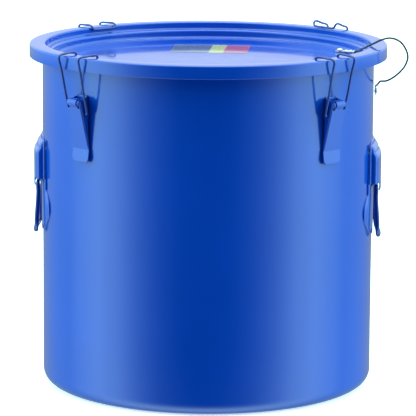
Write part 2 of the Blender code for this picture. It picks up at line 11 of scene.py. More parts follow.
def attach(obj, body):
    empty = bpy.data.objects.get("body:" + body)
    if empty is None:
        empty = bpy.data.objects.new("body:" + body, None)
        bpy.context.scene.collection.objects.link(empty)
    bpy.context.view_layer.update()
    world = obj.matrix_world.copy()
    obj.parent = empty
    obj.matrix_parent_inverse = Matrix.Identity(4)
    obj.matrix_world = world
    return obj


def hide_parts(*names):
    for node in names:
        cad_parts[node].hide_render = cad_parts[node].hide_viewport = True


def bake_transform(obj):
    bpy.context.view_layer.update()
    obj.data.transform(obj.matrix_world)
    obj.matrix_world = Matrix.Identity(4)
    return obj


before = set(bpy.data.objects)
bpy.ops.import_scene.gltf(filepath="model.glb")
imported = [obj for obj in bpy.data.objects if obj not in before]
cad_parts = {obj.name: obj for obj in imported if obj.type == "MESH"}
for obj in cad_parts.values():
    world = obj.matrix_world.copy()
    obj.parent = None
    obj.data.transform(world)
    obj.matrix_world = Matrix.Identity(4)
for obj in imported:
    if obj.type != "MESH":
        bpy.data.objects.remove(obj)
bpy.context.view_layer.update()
MM = 0.001

# --- sizes, in millimetres, the same as the CAD's ------------------------------
BODY_R, WALL, CORNER_R, HEIGHT = 166.5, 1.2, 13.0, 345.0
LID_R, LID_T, SKIRT = 179.5, 1.2, 13.0
STEP_R, STEP_DEPTH, DISC_R, DISC_DEPTH = 163.4, 7.2, 155.5, 15.6
RIM_TOP, RIM_R, RIM_LIP = 340.2, 176.6, 5.7
LATCHES = {"fl": -46.0, "fr": 46.0, "rl": -136.6, "rr": 133.7}
PIVOT_H, PIVOT_Z, HOOK_DH, HOOK_DZ = 10.3, 300.8, -4.3, -10.7
BARREL_R, PLATE_OFF, PIN_R, SHEET, WIRE_R = 4.3, 2.7, 1.6, 1.4, 1.15
LEVER_TOP, LEVER_LOW = 10.0, 11.2
HANDLES = {"left": (-90.0, 1.2), "right": (90.0, -1.2)}
PLATE_T, HOOD_R, BEAD_R, HOOD_T = 0.9, 175.4, 172.3, 1.2
RING_AXIS_R, RING_AXIS_Z, RING_R, RING_LEAN = 169.9, 205.2, 2.3, 1.3
RING_HALF, RING_BOTTOM = 30.0, 151.8
CABLE_R, GAP = 1.0, 0.3


# --- geometry helpers -----------------------------------------------------------
def mesh_of(name, verts, faces):
    mesh = bpy.data.meshes.new(name)
    bm = bmesh.new()
    points = [bm.verts.new(Vector(v) * MM) for v in verts]
    for face in faces:
        bm.faces.new([points[i] for i in face])
    bmesh.ops.recalc_face_normals(bm, faces=bm.faces)
    if bm.calc_volume(signed=True) < 0:
        bmesh.ops.reverse_faces(bm, faces=bm.faces)
    bm.to_mesh(mesh)
    bm.free()
    return mesh


def turned(name, profile, segments=192):
    verts, rings, faces = [], [], []
    for radius, z in profile:
        if radius == 0:
            rings.append([len(verts)] * segments)
            verts.append((0, 0, z))
            continue
        rings.append(list(range(len(verts), len(verts) + segments)))
        for k in range(segments):
            a = 2 * math.pi * k / segments
            verts.append((radius * math.cos(a), radius * math.sin(a), z))
    for i, ring in enumerate(rings):
        after = rings[(i + 1) % len(rings)]
        for k in range(segments):
            m = (k + 1) % segments
            face = []
            for corner in (ring[k], ring[m], after[m], after[k]):
                if corner not in face:
                    face.append(corner)
            if len(face) > 2:
                faces.append(face)
    return mesh_of(name, verts, faces)


def filleted(points, steps=5):
    """Points of (a, b, radius): each corner rounded to its radius."""
    out = []
    n = len(points)
    for i, (a, b, r) in enumerate(points):
        p = Vector((a, b))
        if r <= 0 or i in (0, n - 1):
            out.append((a, b))
            continue
        u = Vector(points[i - 1][:2]) - p
        v = Vector(points[i + 1][:2]) - p
        lu, lv = u.length, v.length
        u, v = u.normalized(), v.normalized()
        half = u.angle(v) / 2
        reach = min(r / math.tan(half), 0.49 * lu, 0.49 * lv)
        r = reach * math.tan(half)
        centre = p + (u + v).normalized() * (r / math.sin(half))
        s, e = p + u * reach - centre, p + v * reach - centre
        turn = s.angle_signed(e)
        for k in range(steps + 1):
            t = -turn * k / steps
            c, d = math.cos(t), math.sin(t)
            q = centre + Vector((s.x * c - s.y * d, s.x * d + s.y * c))
            out.append((q.x, q.y))
    return out


def prism(name, outline, low, high, axis="X"):
    order = {
        "X": lambda a, b, c: (c, a, b),
        "Y": lambda a, b, c: (a, c, b),
        "Z": lambda a, b, c: (a, b, c),
    }[axis]
    n = len(outline)
    verts = [order(a, b, low) for a, b in outline] + [order(a, b, high) for a, b in outline]
    faces = [list(range(n))[::-1], list(range(n, 2 * n))]
    faces += [[i, (i + 1) % n, n + (i + 1) % n, n + i] for i in range(n)]
    return mesh_of(name, verts, faces)


def circle(centre, radius, steps, phase=0.0):
    return [
        (
            centre[0] + radius * math.cos(phase + 2 * math.pi * i / steps),
            centre[1] + radius * math.sin(phase + 2 * math.pi * i / steps),
        )
        for i in range(steps)
    ]


def loft(name, sections):
    n = len(sections[0])
    verts = [p for section in sections for p in section]
    faces = [list(range(n))[::-1]]
    for k in range(len(sections) - 1):
        for i in range(n):
            j = (i + 1) % n
            faces.append([k * n + i, k * n + j, (k + 1) * n + j, (k + 1) * n + i])
    last = (len(sections) - 1) * n
    faces.append([last + i for i in range(n)])
    return mesh_of(name, verts, faces)


def applied(name, mesh, modifiers):
    """mesh with (type, settings) modifiers applied in turn, as a new mesh."""
    holder = bpy.data.objects.new(name + "_work", mesh)
    bpy.context.scene.collection.objects.link(holder)
    for i, (kind, settings) in enumerate(modifiers):
        m = holder.modifiers.new(f"m{i}", kind)
        for key, value in settings.items():
            setattr(m, key, value)
    graph = bpy.context.evaluated_depsgraph_get()
    result = bpy.data.meshes.new_from_object(holder.evaluated_get(graph))
    result.name = name
    bpy.data.objects.remove(holder, do_unlink=True)
    return result


def combined(name, base, steps):
    tools, modifiers = [], []
    for i, (operation, mesh) in enumerate(steps):
        tool = bpy.data.objects.new(f"{name}_tool_{i}", mesh)
        bpy.context.scene.collection.objects.link(tool)
        tools.append(tool)
        modifiers.append(("BOOLEAN", {"operation": operation, "object": tool, "solver": "EXACT"}))
    result = applied(name, base, modifiers)
    for tool in tools:
        bpy.data.objects.remove(tool, do_unlink=True)
    return result


def pressed(name, mesh, voxel, rounds, keep=0.5):
    """The shape with its edges rounded as pressed and painted sheet has them."""
    return applied(
        name,
        mesh,
        [
            ("REMESH", {"mode": "VOXEL", "voxel_size": voxel * MM, "use_smooth_shade": True}),
            ("SMOOTH", {"factor": 0.5, "iterations": rounds}),
            ("DECIMATE", {"ratio": keep}),
        ],
    )


def smooth_route(points, spacing, closed=False):
    pts = [Vector(p) for p in points]
    if closed:
        chain = [pts[-1]] + pts + [pts[0], pts[1]]
    else:
        chain = [pts[0] * 2 - pts[1]] + pts + [pts[-1] * 2 - pts[-2]]
    dense = []
    for p0, p1, p2, p3 in zip(chain, chain[1:], chain[2:], chain[3:]):
        t0 = 0.0
        t1 = t0 + max((p1 - p0).length, 1e-6) ** 0.5
        t2 = t1 + max((p2 - p1).length, 1e-6) ** 0.5
        t3 = t2 + max((p3 - p2).length, 1e-6) ** 0.5
        for k in range(24):
            t = t1 + (t2 - t1) * k / 24
            a1 = p0.lerp(p1, (t - t0) / (t1 - t0))
            a2 = p1.lerp(p2, (t - t1) / (t2 - t1))
            a3 = p2.lerp(p3, (t - t2) / (t3 - t2))
            b1 = a1.lerp(a2, (t - t0) / (t2 - t0))
            b2 = a2.lerp(a3, (t - t1) / (t3 - t1))
            dense.append(b1.lerp(b2, (t - t1) / (t2 - t1)))
    if not closed:
        dense.append(pts[-1])
    total = [0.0]
    for a, b in zip(dense, dense[1:]):
        total.append(total[-1] + (b - a).length)
    count = max(2, round(total[-1] / spacing))
    found, j = [], 0
    for i in range(count + (0 if closed else 1)):
        want = total[-1] * i / count
        while j < len(total) - 2 and total[j + 1] < want:
            j += 1
        span = total[j + 1] - total[j]
        found.append(dense[j].lerp(dense[j + 1], (want - total[j]) / span if span else 0.0))
    return found


def relaxed(points, rounds, closed=False):
    """The route with its kinks eased, ends held."""
    pts = [Vector(p) for p in points]
    n = len(pts)
    for _ in range(rounds):
        new = list(pts)
        for i in range(n):
            if not closed and i in (0, n - 1):
                continue
            new[i] = pts[i] * 0.5 + (pts[i - 1] + pts[(i + 1) % n]) * 0.25
        pts = new
    return pts


def tube(name, points, radii, sides=14, closed=False):
    """A round mesh tube along the points, in millimetres, with round ends."""
    n = len(points)
    ways = []
    for i in range(n):
        a = points[(i - 1) % n] if closed or i else points[i]
        b = points[(i + 1) % n] if closed or i < n - 1 else points[i]
        ways.append((b - a).normalized())
    normal = ways[0].orthogonal().normalized()
    rings = []
    for i in range(n):
        normal = (normal - ways[i] * normal.dot(ways[i])).normalized()
        binormal = ways[i].cross(normal)
        r = radii[i] if isinstance(radii, list) else radii
        rings.append([points[i] + (normal * math.cos(t) + binormal * math.sin(t)) * r
                      for t in [2 * math.pi * k / sides for k in range(sides)]])
    verts = [tuple(p) for ring in rings for p in ring]
    faces = []
    last = n if closed else n - 1
    for i in range(last):
        j = (i + 1) % n
        if closed and j == 0:  # match the frame's twist where the tube closes
            shift = min(range(sides), key=lambda s: sum(
                (rings[i][k] - rings[0][(k + s) % sides]).length for k in range(sides)))
        else:
            shift = 0
        for k in range(sides):
            m = (k + 1) % sides
            faces.append([i * sides + k, i * sides + m, j * sides + (m + shift) % sides,
                          j * sides + (k + shift) % sides])
    if not closed:
        faces += [list(range(sides))[::-1], [(n - 1) * sides + k for k in range(sides)]]
    return mesh_of(name, verts, faces)


def around(radius, angle, z):
    a = math.radians(angle)
    return Vector((radius * math.sin(a), -radius * math.cos(a), z)) * MM


def put(name, mesh, material, body, replaced=(), matrix=None, sharp=None):
    obj = bpy.data.objects.new(name, mesh)
    bpy.context.scene.collection.objects.link(obj)
    if matrix is not None:
        obj.matrix_world = matrix
    mesh.materials.clear()
    mesh.materials.append(material)
    mesh.shade_smooth()
    if sharp is not None:
        mesh.set_sharp_from_angle(angle=math.radians(sharp))
    if body:
        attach(obj, body)
    if replaced:
        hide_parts(*replaced)
    return obj


def turn_at(location, degrees):
    return Matrix.Translation(Vector(location)) @ Matrix.Rotation(math.radians(degrees), 4, "Z")


# --- materials --------------------------------------------------------------------
def new_material(name):
    m = bpy.data.materials.new(name)
    m.use_nodes = True
    tree = m.node_tree
    shader = tree.nodes["Principled BSDF"]
    return m, tree, shader


def node(tree, kind, **settings):
    n = tree.nodes.new(kind)
    for key, value in settings.items():
        if key in n.inputs:
            n.inputs[key].default_value = value
        else:
            setattr(n, key, value)
    return n


def ramp(tree, source, stops):
    r = tree.nodes.new("ShaderNodeValToRGB")
    while len(r.color_ramp.elements) < len(stops):
        r.color_ramp.elements.new(0.5)
    for element, (at, value) in zip(r.color_ramp.elements, stops):
        element.position = at
        element.color = value if len(value) == 4 else (*value, 1.0)
    tree.links.new(source, r.inputs["Fac"])
    return r.outputs["Color"]


def enamel(name, base, deep, rough=0.17, peel=1.0, coat=0.6):
    """Gloss paint on pressed steel: faint orange peel, slight pooling of colour,
    fine handling marks and a little dust in the roughness, and a painted highlight that lightens convex edges towards
    a paler cyan blue."""
    m, tree, shader = new_material(name)
    links = tree.links
    coords = tree.nodes.new("ShaderNodeTexCoord")
    broad = node(tree, "ShaderNodeTexNoise", Scale=9.0, Detail=3.0, Roughness=0.5)
    links.new(coords.outputs["Object"], broad.inputs["Vector"])
    colour = ramp(tree, broad.outputs["Fac"], [(0.3, deep), (0.7, base)])
    # painted highlight: convex edges, found by pointiness, are mixed towards a lighter cyan blue
    geometry = tree.nodes.new("ShaderNodeNewGeometry")
    edge = node(tree, "ShaderNodeMapRange", **{"From Min": 0.50, "From Max": 0.62, "To Min": 0.0, "To Max": 0.16})
    links.new(geometry.outputs["Pointiness"], edge.inputs["Value"])
    painted_edge_highlight = node(tree, "ShaderNodeMix", data_type="RGBA")
    links.new(edge.outputs["Result"], painted_edge_highlight.inputs["Factor"])
    links.new(colour, painted_edge_highlight.inputs["A"])
    painted_edge_highlight.inputs["B"].default_value = (min(1, base[0] * 3 + 0.06), min(1, base[1] * 1.9 + 0.05), min(1, base[2] * 1.15 + 0.04), 1)
    links.new(painted_edge_highlight.outputs["Result"], shader.inputs["Base Color"])
    # roughness: haze patches and hairline marks
    haze = node(tree, "ShaderNodeTexNoise", Scale=34.0, Detail=5.0, Roughness=0.6)
    links.new(coords.outputs["Object"], haze.inputs["Vector"])
    stretch = node(tree, "ShaderNodeMapping")
    stretch.inputs["Scale"].default_value = (240.0, 240.0, 14.0)
    links.new(coords.outputs["Object"], stretch.inputs["Vector"])
    marks = node(tree, "ShaderNodeTexNoise", Scale=6.0, Detail=2.0, Roughness=0.5)
    links.new(stretch.outputs["Vector"], marks.inputs["Vector"])
    fine = node(tree, "ShaderNodeMapRange", **{"From Min": 0.62, "From Max": 0.80, "To Min": 0.0, "To Max": 0.05})
    links.new(marks.outputs["Fac"], fine.inputs["Value"])
    level = node(tree, "ShaderNodeMapRange", **{"From Min": 0.3, "From Max": 0.75, "To Min": rough - 0.03, "To Max": rough + 0.05})
    links.new(haze.outputs["Fac"], level.inputs["Value"])
    total = node(tree, "ShaderNodeMath", operation="ADD")
    links.new(level.outputs["Result"], total.inputs[0])
    links.new(fine.outputs["Result"], total.inputs[1])
    links.new(total.outputs["Value"], shader.inputs["Roughness"])
    # bump: orange peel over a slow waviness of the sheet
    grain = node(tree, "ShaderNodeTexNoise", Scale=330.0, Detail=1.0, Roughness=0.4)
    wave = node(tree, "ShaderNodeTexNoise", Scale=16.0, Detail=1.0, Roughness=0.3)
    for n in (grain, wave):
        links.new(coords.outputs["Object"], n.inputs["Vector"])
    first = node(tree, "ShaderNodeBump", Strength=0.35 * peel, Distance=0.00005)
    links.new(grain.outputs["Fac"], first.inputs["Height"])
    second = node(tree, "ShaderNodeBump", Strength=0.5, Distance=0.0002 * peel)
    links.new(wave.outputs["Fac"], second.inputs["Height"])
    links.new(first.outputs["Normal"], second.inputs["Normal"])
    links.new(second.outputs["Normal"], shader.inputs["Normal"])
    shader.inputs["IOR"].default_value = 1.5
    shader.inputs["Coat Weight"].default_value = coat
    shader.inputs["Coat Roughness"].default_value = 0.05
    shader.inputs["Coat IOR"].default_value = 1.45
    return m


def steel(name, base, rough=0.28):
    """Tinned or nickelled steel with fine scratches and dull patches."""
    m, tree, shader = new_material(name)
    links = tree.links
    coords = tree.nodes.new("ShaderNodeTexCoord")
    patches = node(tree, "ShaderNodeTexNoise", Scale=260.0, Detail=4.0)
    links.new(coords.outputs["Object"], patches.inputs["Vector"])
    links.new(ramp(tree, patches.outputs["Fac"], [(0.3, tuple(c * 0.72 for c in base)), (0.7, base)]), shader.inputs["Base Color"])
    level = node(tree, "ShaderNodeMapRange", **{"From Min": 0.3, "From Max": 0.7, "To Min": rough - 0.08, "To Max": rough + 0.14})
    links.new(patches.outputs["Fac"], level.inputs["Value"])
    links.new(level.outputs["Result"], shader.inputs["Roughness"])
    stretch = node(tree, "ShaderNodeMapping")
    stretch.inputs["Scale"].default_value = (200.0, 2400.0, 2400.0)
    links.new(coords.outputs["Object"], stretch.inputs["Vector"])
    lines = node(tree, "ShaderNodeTexNoise", Scale=1.0, Detail=2.0)
    links.new(stretch.outputs["Vector"], lines.inputs["Vector"])
    bump = node(tree, "ShaderNodeBump", Strength=0.25, Distance=0.00004)
    links.new(lines.outputs["Fac"], bump.inputs["Height"])
    links.new(bump.outputs["Normal"], shader.inputs["Normal"])
    shader.inputs["Metallic"].default_value = 1.0
    return m


def sheath(name, base):
    """Clear-coated black wire rope: the strands show as a fine slanting ripple."""
    m, tree, shader = new_material(name)
    links = tree.links
    coords = tree.nodes.new("ShaderNodeTexCoord")
    dust = node(tree, "ShaderNodeTexNoise", Scale=420.0, Detail=4.0)
    links.new(coords.outputs["Object"], dust.inputs["Vector"])
    links.new(ramp(tree, dust.outputs["Fac"], [(0.35, base), (0.8, tuple(c * 1.9 + 0.01 for c in base))]), shader.inputs["Base Color"])
    level = node(tree, "ShaderNodeMapRange", **{"From Min": 0.3, "From Max": 0.7, "To Min": 0.28, "To Max": 0.5})
    links.new(dust.outputs["Fac"], level.inputs["Value"])
    links.new(level.outputs["Result"], shader.inputs["Roughness"])
    twist = node(tree, "ShaderNodeTexWave", Scale=700.0, Distortion=0.6, wave_type="BANDS", bands_direction="DIAGONAL")
    links.new(coords.outputs["Object"], twist.inputs["Vector"])
    bump = node(tree, "ShaderNodeBump", Strength=0.4, Distance=0.00006)
    links.new(twist.outputs["Fac"], bump.inputs["Height"])
    links.new(bump.outputs["Normal"], shader.inputs["Normal"])
    shader.inputs["Coat Weight"].default_value = 0.25
    shader.inputs["Coat Roughness"].default_value = 0.15
    return m


def rubber(name, base):
    m, tree, shader = new_material(name)
    links = tree.links
    coords = tree.nodes.new("ShaderNodeTexCoord")
    grain = node(tree, "ShaderNodeTexNoise", Scale=900.0, Detail=3.0)
    links.new(coords.outputs["Object"], grain.inputs["Vector"])
    links.new(ramp(tree, grain.outputs["Fac"], [(0.3, base), (0.7, tuple(c * 1.5 for c in base))]), shader.inputs["Base Color"])
    level = node(tree, "ShaderNodeMapRange", **{"From Min": 0.3, "From Max": 0.7, "To Min": 0.6, "To Max": 0.8})
    links.new(grain.outputs["Fac"], level.inputs["Value"])
    links.new(level.outputs["Result"], shader.inputs["Roughness"])
    bump = node(tree, "ShaderNodeBump", Strength=0.3, Distance=0.00008)
    links.new(grain.outputs["Fac"], bump.inputs["Height"])
    links.new(bump.outputs["Normal"], shader.inputs["Normal"])
    return m


BASE, DEEP = (0.001, 0.051, 0.47), (0.001, 0.046, 0.43)
PAINT = enamel("enamel_body", BASE, DEEP)
PAINT_LID = enamel("enamel_lid", BASE, DEEP, rough=0.13, peel=0.7)
PAINT_PRESS = enamel("enamel_pressings", BASE, DEEP, rough=0.16)
PAINT_WIRE = enamel("enamel_wire", (0.001, 0.022, 0.25), (0.001, 0.019, 0.22), rough=0.2, peel=0.5)
STEEL_M = steel("terminal_metal", (0.84, 0.72, 0.72))
SHEATH_M = sheath("cable_cover", (0.012, 0.013, 0.016))
SEAL_M = rubber("seal_rubber", (0.03, 0.03, 0.032))

# --- camera -----------------------------------------------------------------------
DIST, CAM_H, PITCH, ROLL, YAW, LENS = 3003.7, 732.9, 10.515, 0.338, 0.011, 260.7


def make_camera():
    p, r, y = (math.radians(v) for v in (PITCH, ROLL, YAW))
    forward = Vector((math.sin(y) * math.cos(p), math.cos(y) * math.cos(p), -math.sin(p)))
    right = Vector((math.cos(y), -math.sin(y), 0.0))
    up = right.cross(forward)
    right2 = right * math.cos(r) + up * math.sin(r)
    up2 = up * math.cos(r) - right * math.sin(r)
    basis = Matrix((right2, up2, -forward)).transposed().to_4x4()
    data = bpy.data.cameras.new("camera")
    data.lens, data.sensor_width = LENS, 36.0
    data.clip_start, data.clip_end = 0.1, 60.0
    cam = bpy.data.objects.new("camera", data)
    bpy.context.scene.collection.objects.link(cam)
    cam.matrix_world = (
        Matrix.Rotation(math.radians(0.8), 4, "Z")
        @ Matrix.Translation(Vector((0, -DIST, CAM_H)) * MM)
        @ basis
    )
    bpy.context.scene.camera = cam


make_camera()

# --- tether cable -------------------------------------------------------------------
DISC_Z = HEIGHT - DISC_DEPTH
LID_EYE, LID_EXIT = (141.9, 109.8), (152.0, 102.0)
BODY_EYE_ANGLE, BODY_EYE_Z = 90.6, 296.6
eye_at = around(LID_EYE[0], LID_EYE[1], DISC_Z)
exit_at = around(LID_EXIT[0], LID_EXIT[1], DISC_Z)
heading = math.atan2(exit_at.y - eye_at.y, exit_at.x - eye_at.x)
eye_length = (exit_at - eye_at).length / MM
LID_FRAME = Matrix.Translation(eye_at + Vector((0, 0, 0.8 * MM))) @ Matrix.Rotation(heading, 4, "Z")
wall_at = around(BODY_R, BODY_EYE_ANGLE, BODY_EYE_Z)
outward = around(1.0, BODY_EYE_ANGLE, 0.0) / MM
side = Vector((0, 0, 1)).cross(outward) * -1
FACE = Matrix.Translation(wall_at) @ Matrix((side, Vector((0, 0, 1)), outward)).transposed().to_4x4()
UPRIGHT = FACE @ Matrix.Rotation(math.radians(90), 4, "Z")
BODY_FRAME = UPRIGHT @ Matrix.Translation(Vector((0, 0, 1.2 * MM)))


def crimp_end(head_r, thick, length, rise):
    return Vector((head_r - 1.0 + length, 0, max(thick / 2, 0.2) + rise))


lid_end = crimp_end(4.8, 1.1, eye_length - 3.8, 1.2)
body_end = crimp_end(4.6, 1.1, 3.4, 2.6)
lid_mouth = LID_FRAME @ (lid_end * MM)
lid_way = (Matrix.Rotation(heading, 4, "Z") @ Vector((1, 0, 0.06))).normalized()
body_mouth = BODY_FRAME @ (body_end * MM)
body_way = (UPRIGHT.to_3x3() @ Vector((3.4, 0, 2.6))).normalized()
cable_points = [
    lid_mouth / MM - lid_way * 2.2,
    lid_mouth / MM + lid_way * (GAP + 0.05),
    lid_mouth / MM + lid_way * 3.4 + Vector((0, -0.7, 0.9)),
    around(152.3, 94.8, 335.6) / MM,
    around(154.0, 88.8, 339.6) / MM,
    around(157.2, 86.0, 341.8) / MM,
    around(161.2, 83.4, 344.8) / MM,
    around(167.2, 82.0, 348.0) / MM,
    around(174.0, 81.3, 351.6) / MM,
    around(183.1, 80.7, 354.0) / MM,
    around(192.3, 80.6, 351.4) / MM,
    around(198.2, 81.2, 344.3) / MM,
    around(200.7, 82.2, 334.9) / MM,
    around(197.6, 83.2, 325.3) / MM,
    around(188.9, 85.3, 314.9) / MM,
    around(179.4, 87.9, 308.0) / MM,
    body_mouth / MM + body_way * 3.0,
    body_mouth / MM + body_way * 0.95,
    body_mouth / MM - body_way * 1.6,
]
route = smooth_route(cable_points, 1.0)
cable = put("tether_rope", tube("tether_rope", route, CABLE_R, 14), SHEATH_M, None, ["tether_cable"])
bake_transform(cable)


def eyelet(name, head_r, hole_r, thick, tube_r, tube_length, rise):
    outline = [
        (head_r * math.cos(a), head_r * math.sin(a))
        for a in [math.radians(25 + 310 * i / 48) for i in range(49)]
    ]
    outline += [(head_r + 1.4, -tube_r * 0.8), (head_r + 1.4, tube_r * 0.8)]
    eye = prism("eye", outline, 0.0, thick, "Z")
    hole = prism("hole", circle((0, 0), hole_r, 32), -5, 9, "Z")
    start = Vector((head_r - 1.0, 0, max(thick / 2, 0.2)))
    end = start + Vector((tube_length, 0, rise))
    stations = [(0.0, 0.45, 0.45), (0.14, 0.8, 0.8), (0.25, 1.0, 1.0)]
    if tube_length > 6:  # two crimp bites squeeze the barrel flat
        stations += [(0.36, 1.0, 1.0), (0.42, 1.08, 0.74), (0.5, 1.08, 0.74), (0.56, 1.0, 1.0),
                     (0.68, 1.0, 1.0), (0.74, 1.08, 0.74), (0.82, 1.08, 0.74), (0.88, 1.0, 1.0)]
    stations += [(0.95, 1.02, 1.02), (1.0, 1.0, 1.0)]
    sections = []
    for at, wide, tall in stations:
        c = start.lerp(end, at)
        sections.append([
            (c.x, tube_r * wide * math.cos(a), c.z + tube_r * tall * math.sin(a))
            for a in [2 * math.pi * i / 28 for i in range(28)]
        ])
    made = combined(name, eye, [("UNION", loft("barrel", sections)), ("DIFFERENCE", hole)])
    return pressed(name, made, 0.14, 3, 0.6)


def rivet(name, head_r, head_h, shank_r, low):
    profile = filleted([(0, low, 0), (shank_r, low, 0.2), (shank_r, 1.9, 0), (head_r, 1.9, 0.15),
                        (head_r * 0.97, 1.9 + head_h * 0.4, 0.4), (head_r * 0.62, 1.9 + head_h * 0.93, 0.8),
                        (0, 1.9 + head_h, 0)], 4)
    return turned(name, profile, 40)


put("eyelet_lid", eyelet("eyelet_lid", 4.8, 2.2, 1.1, 1.75, eye_length - 3.8, 1.2), STEEL_M, "lid",
    ["tether_terminal_lid"], LID_FRAME)
put("rivet_lid", rivet("rivet_lid", 3.5, 1.7, 1.9, GAP), STEEL_M, "lid", ["tether_rivet_lid"],
    Matrix.Translation(eye_at + Vector((0, 0, 0.3 * MM))))
put("eyelet_body", eyelet("eyelet_body", 4.6, 2.2, 1.1, 1.6, 3.4, 2.6), STEEL_M, "bucket",
    ["tether_terminal_body"], BODY_FRAME)
put("rivet_body", rivet("rivet_body", 3.4, 1.6, 1.9, GAP), STEEL_M, "bucket", ["tether_rivet_body"],
    UPRIGHT @ Matrix.Translation(Vector((0, 0, 0.5 * MM))))

# --- body and lid ---------------------------------------------------------------------
inner = BODY_R - WALL
shell = filleted(
    [
        (0, 0, 0),
        (BODY_R - 30, 0, 0),
        (BODY_R, 0, CORNER_R),
        (BODY_R, 60, 0),
        (BODY_R, 330, 0),
        (BODY_R, RIM_TOP - WALL, 1.0),
        (RIM_R - WALL, RIM_TOP - WALL, 0.8),
        (RIM_R - WALL, RIM_TOP - RIM_LIP, 0.3),
        (RIM_R, RIM_TOP - RIM_LIP, 0.3),
        (RIM_R, RIM_TOP, 1.8),
        (inner, RIM_TOP, 2.0),
        (inner, 330, 0),
        (inner, 60, 0),
        (inner, WALL, CORNER_R - WALL),
        (BODY_R - 32, WALL, 0),
        (0, WALL, 0),
    ],
    8,
)
put("pot_body", turned("pot_body", shell, 224), PAINT, "bucket", ["bucket_shell"], sharp=50)

top, t = HEIGHT, LID_T
step, disc = top - STEP_DEPTH, top - DISC_DEPTH
lid_line = filleted(
    [
        (0, disc, 0),
        (DISC_R - 12, disc, 0),
        (DISC_R, disc, 3.0),
        (DISC_R, step, 2.6),
        (STEP_R, step, 1.9),
        (STEP_R, top, 1.7),
        (LID_R, top, 1.9),
        (LID_R, top - SKIRT, 0.45),
        (LID_R - t, top - SKIRT, 0.45),
        (LID_R - t, top - t, 1.0),
        (STEP_R + t, top - t, 1.0),
        (STEP_R + t, step - t, 1.9),
        (DISC_R + t, step - t, 1.6),
        (DISC_R + t, disc - t, 3.6),
        (DISC_R - 14, disc - t, 0),
        (0, disc - t, 0),
    ],
    7,
)
put("pot_lid", turned("pot_lid", lid_line, 224), PAINT_LID, "lid", ["lid"], sharp=50)
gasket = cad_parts["lid_gasket"]
gasket = gasket if hasattr(gasket, "data") else bpy.data.objects["lid_gasket"]
gasket.data.materials.clear()
gasket.data.materials.append(SEAL_M)

# --- latches ---------------------------------------------------------------------------
LEAN = math.radians(12.8)
DOWN = Vector((0, -math.sin(LEAN), -math.cos(LEAN)))
OUT = Vector((0, math.cos(LEAN), -math.sin(LEAN)))


def channel(half, cheek, corner=1.7):
    """A sheet channel's section as (x, depth) points with rounded bends."""
    outer = filleted([(-half, cheek, 0), (-half, 0, corner), (half, 0, corner), (half, cheek, 0)], 6)
    inside = filleted([(half - SHEET, cheek, 0), (half - SHEET, SHEET, corner * 0.4),
                       (-half + SHEET, SHEET, corner * 0.4), (-half + SHEET, cheek, 0)], 6)
    return outer + inside


def eased(table, s):
    for (s0, v0), (s1, v1) in zip(table, table[1:]):
        if s <= s1:
            u = max(0.0, min(1.0, (s - s0) / (s1 - s0)))
            u = u * u * (3 - 2 * u)
            return v0 + (v1 - v0) * u
    return table[-1][1]


def lever_mesh():
    depth = [(-2.4, 6.6), (4.0, 9.4), (12.5, 9.2), (20.0, 6.0), (34.0, 3.4), (47.6, 1.9)]
    sections = []
    for i in range(41):
        s = -2.4 + 50.0 * i / 40
        half = LEVER_TOP + (LEVER_LOW - LEVER_TOP) * max(0.0, s) / 47.6
        row = []
        for x, d in channel(half, eased(depth, s)):
            p = OUT * (PLATE_OFF - d) + DOWN * s
            row.append((x, p.y, p.z))
        sections.append(row)
    body = loft("lever", sections)
    end = OUT * (PLATE_OFF - SHEET) + DOWN * 47.0
    tilt = math.radians(7.0)
    tab_down = Vector((0, math.sin(tilt), -math.cos(tilt)))
    tab_out = Vector((0, math.cos(tilt), math.sin(tilt)))
    outline = filleted([(0, -0.8, 0), (-11.7, -0.8, 0.8), (-11.7, 9.4, 1.6), (-9.0, 12.8, 1.8), (9.0, 12.8, 1.8),
                        (11.7, 9.4, 1.6), (11.7, -0.8, 0.8), (0.01, -0.8, 0)], 5)
    tab = []
    for offset in (0.0, 1.5):
        row = []
        for x, s in outline:
            p = end + tab_down * s + tab_out * offset
            row.append((x, p.y, p.z))
        tab.append(row)
    barrel = prism("barrel", circle((0, 0), BARREL_R, 48), -5.7, 5.7, "X")
    cuts = []
    for sign in (-1, 1):
        lo, hi = sorted((sign * 6.0, sign * (LEVER_TOP - SHEET - 0.02)))
        cuts.append(("DIFFERENCE", prism("slot", [(-9, -5.4), (9, -5.4), (9, 9), (-9, 9)], lo, hi, "X")))
    bore = prism("bore", circle((0, 0), PIN_R + 0.15, 24), -6.0, 6.0, "X")
    hook = prism("hook", circle((HOOK_DH, HOOK_DZ), WIRE_R + 0.2, 20), -20, 20, "X")
    lip = prism("lip", [(-0.25, 3.2), (0.25, 3.2), (0.25, 6.0), (-0.25, 6.0)], -7, 7, "X")  # where the curl meets the plate
    made = combined("lever", body, [("UNION", loft("tab", tab)), ("UNION", barrel)] + cuts
                    + [("DIFFERENCE", bore), ("DIFFERENCE", hook), ("DIFFERENCE", lip)])
    return pressed("lever_pressed", made, 0.27, 3, 0.4)


def base_mesh():
    outline = filleted([(0, -15.0, 0), (8.2, -15.0, 1.4), (8.2, 6.6, 1.8), (-8.2, 6.6, 1.8), (-8.2, -15.0, 1.4),
                        (-0.01, -15.0, 0)], 5)
    foot = prism("foot", outline, GAP + 0.3, GAP + 1.9, "Y")
    reach = PIN_R + 1.7
    steps = []
    for sign in (-1, 1):
        ear = [(GAP + 1.0, -7.4), (PIVOT_H - 1.5, -reach)]
        ear += [(PIVOT_H + reach * math.cos(a), reach * math.sin(a)) for a in [math.radians(-60 + 155 * i / 14) for i in range(15)]]
        ear += [(GAP + 1.0, 5.4)]
        lo, hi = sorted((sign * 6.3, sign * 8.1))
        steps.append(("UNION", prism("ear", ear, lo, hi, "X")))
    bore = prism("bore", circle((PIVOT_H, 0), PIN_R + 0.1, 24), -20, 20, "X")
    made = combined("bracket", foot, steps + [("DIFFERENCE", bore)])
    return pressed("bracket_pressed", made, 0.26, 3, 0.4)


